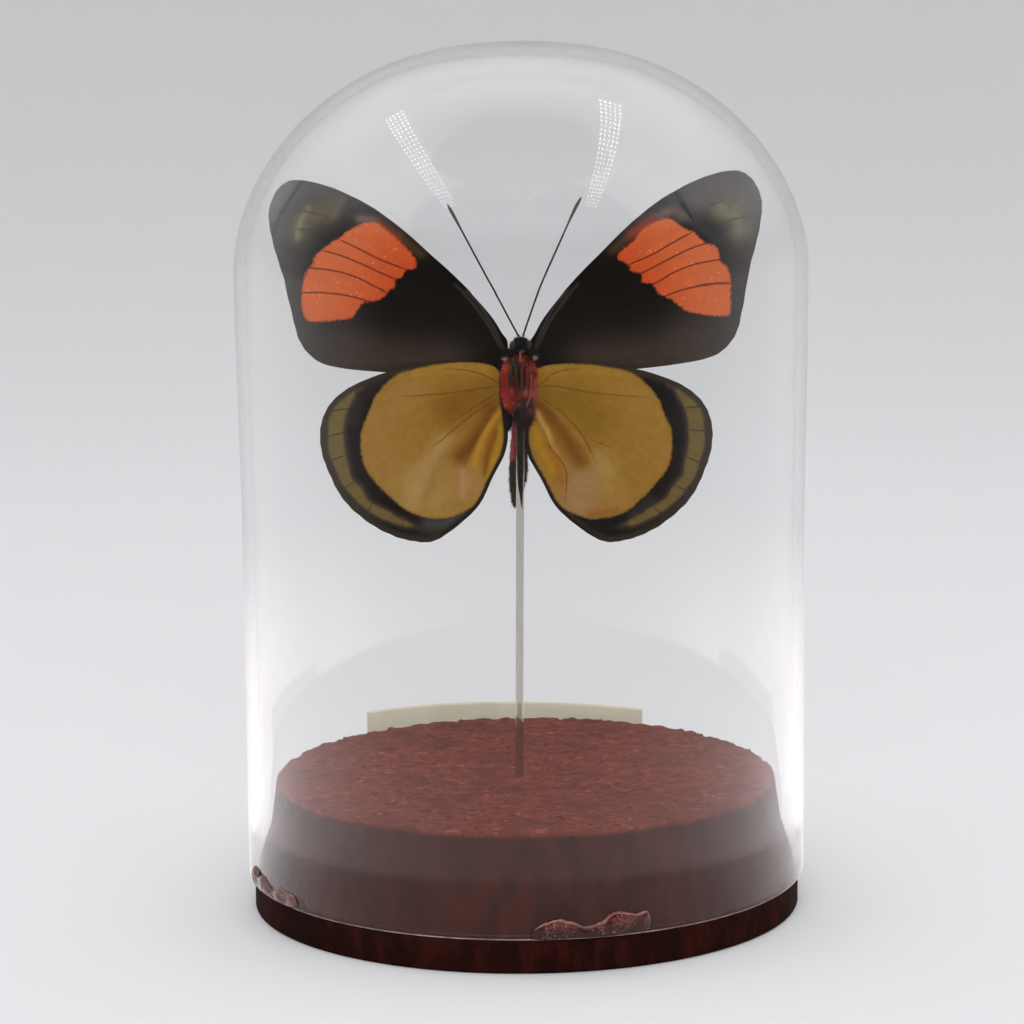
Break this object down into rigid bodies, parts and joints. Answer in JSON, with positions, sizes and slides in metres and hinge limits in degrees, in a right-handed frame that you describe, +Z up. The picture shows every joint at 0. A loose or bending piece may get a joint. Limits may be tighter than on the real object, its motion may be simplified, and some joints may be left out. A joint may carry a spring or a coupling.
{
  "type": "insect in glass dome",
  "caption": "Mounted butterfly, underside to the front, held on a clear rod above a stepped cork base and covered by a tall round-topped glass dome.",
  "frame": {"origin": "centre of the cork base's underside, where the object stands", "axes": "+Z up along the dome's axis; -Y is the front, which the butterfly's underside faces; +X is to the viewer's right"},
  "size_m": [0.1012, 0.1012, 0.1542],
  "materials": {
    "clear_glass": "clear, smooth blown glass with a fire-polished rim",
    "dyed_cork": "matt, granular agglomerated cork stained dark red",
    "clear_acrylic": "clear, glossy drawn rod",
    "body_fur": "matt red and pink hair over dark cuticle",
    "abdomen_scales": "matt dark scales with a red side stripe",
    "dark_cuticle": "dark satin cuticle",
    "tongue": "satin pinkish brown",
    "forewing_scales": "matt scales, black brown with a red patch and an olive-grey tip",
    "hindwing_scales": "matt scales, ochre yellow with a black border and an olive band",
    "leg_cuticle": "satin olive-brown",
    "label_paper": "matt cream paper, blank",
    "dried_glue": "glossy clear glue over red dye"
  },
  "bodies": {
    "root": {"glass_dome": "clear_glass", "cork_base": "dyed_cork", "support_rod": "clear_acrylic", "thorax": "body_fur", "abdomen": "abdomen_scales", "head": "dark_cuticle", "proboscis": "tongue", "antenna_left": "dark_cuticle", "antenna_right": "dark_cuticle", "forewing_left": "forewing_scales", "forewing_right": "forewing_scales", "hindwing_left": "hindwing_scales", "hindwing_right": "hindwing_scales", "leg_mid_left": "leg_cuticle", "leg_mid_right": "leg_cuticle", "leg_hind_left": "leg_cuticle", "leg_hind_right": "leg_cuticle", "data_label": "label_paper", "glue_bead_front": "dried_glue", "glue_bead_left": "dried_glue"}
  },
  "joints": []
}
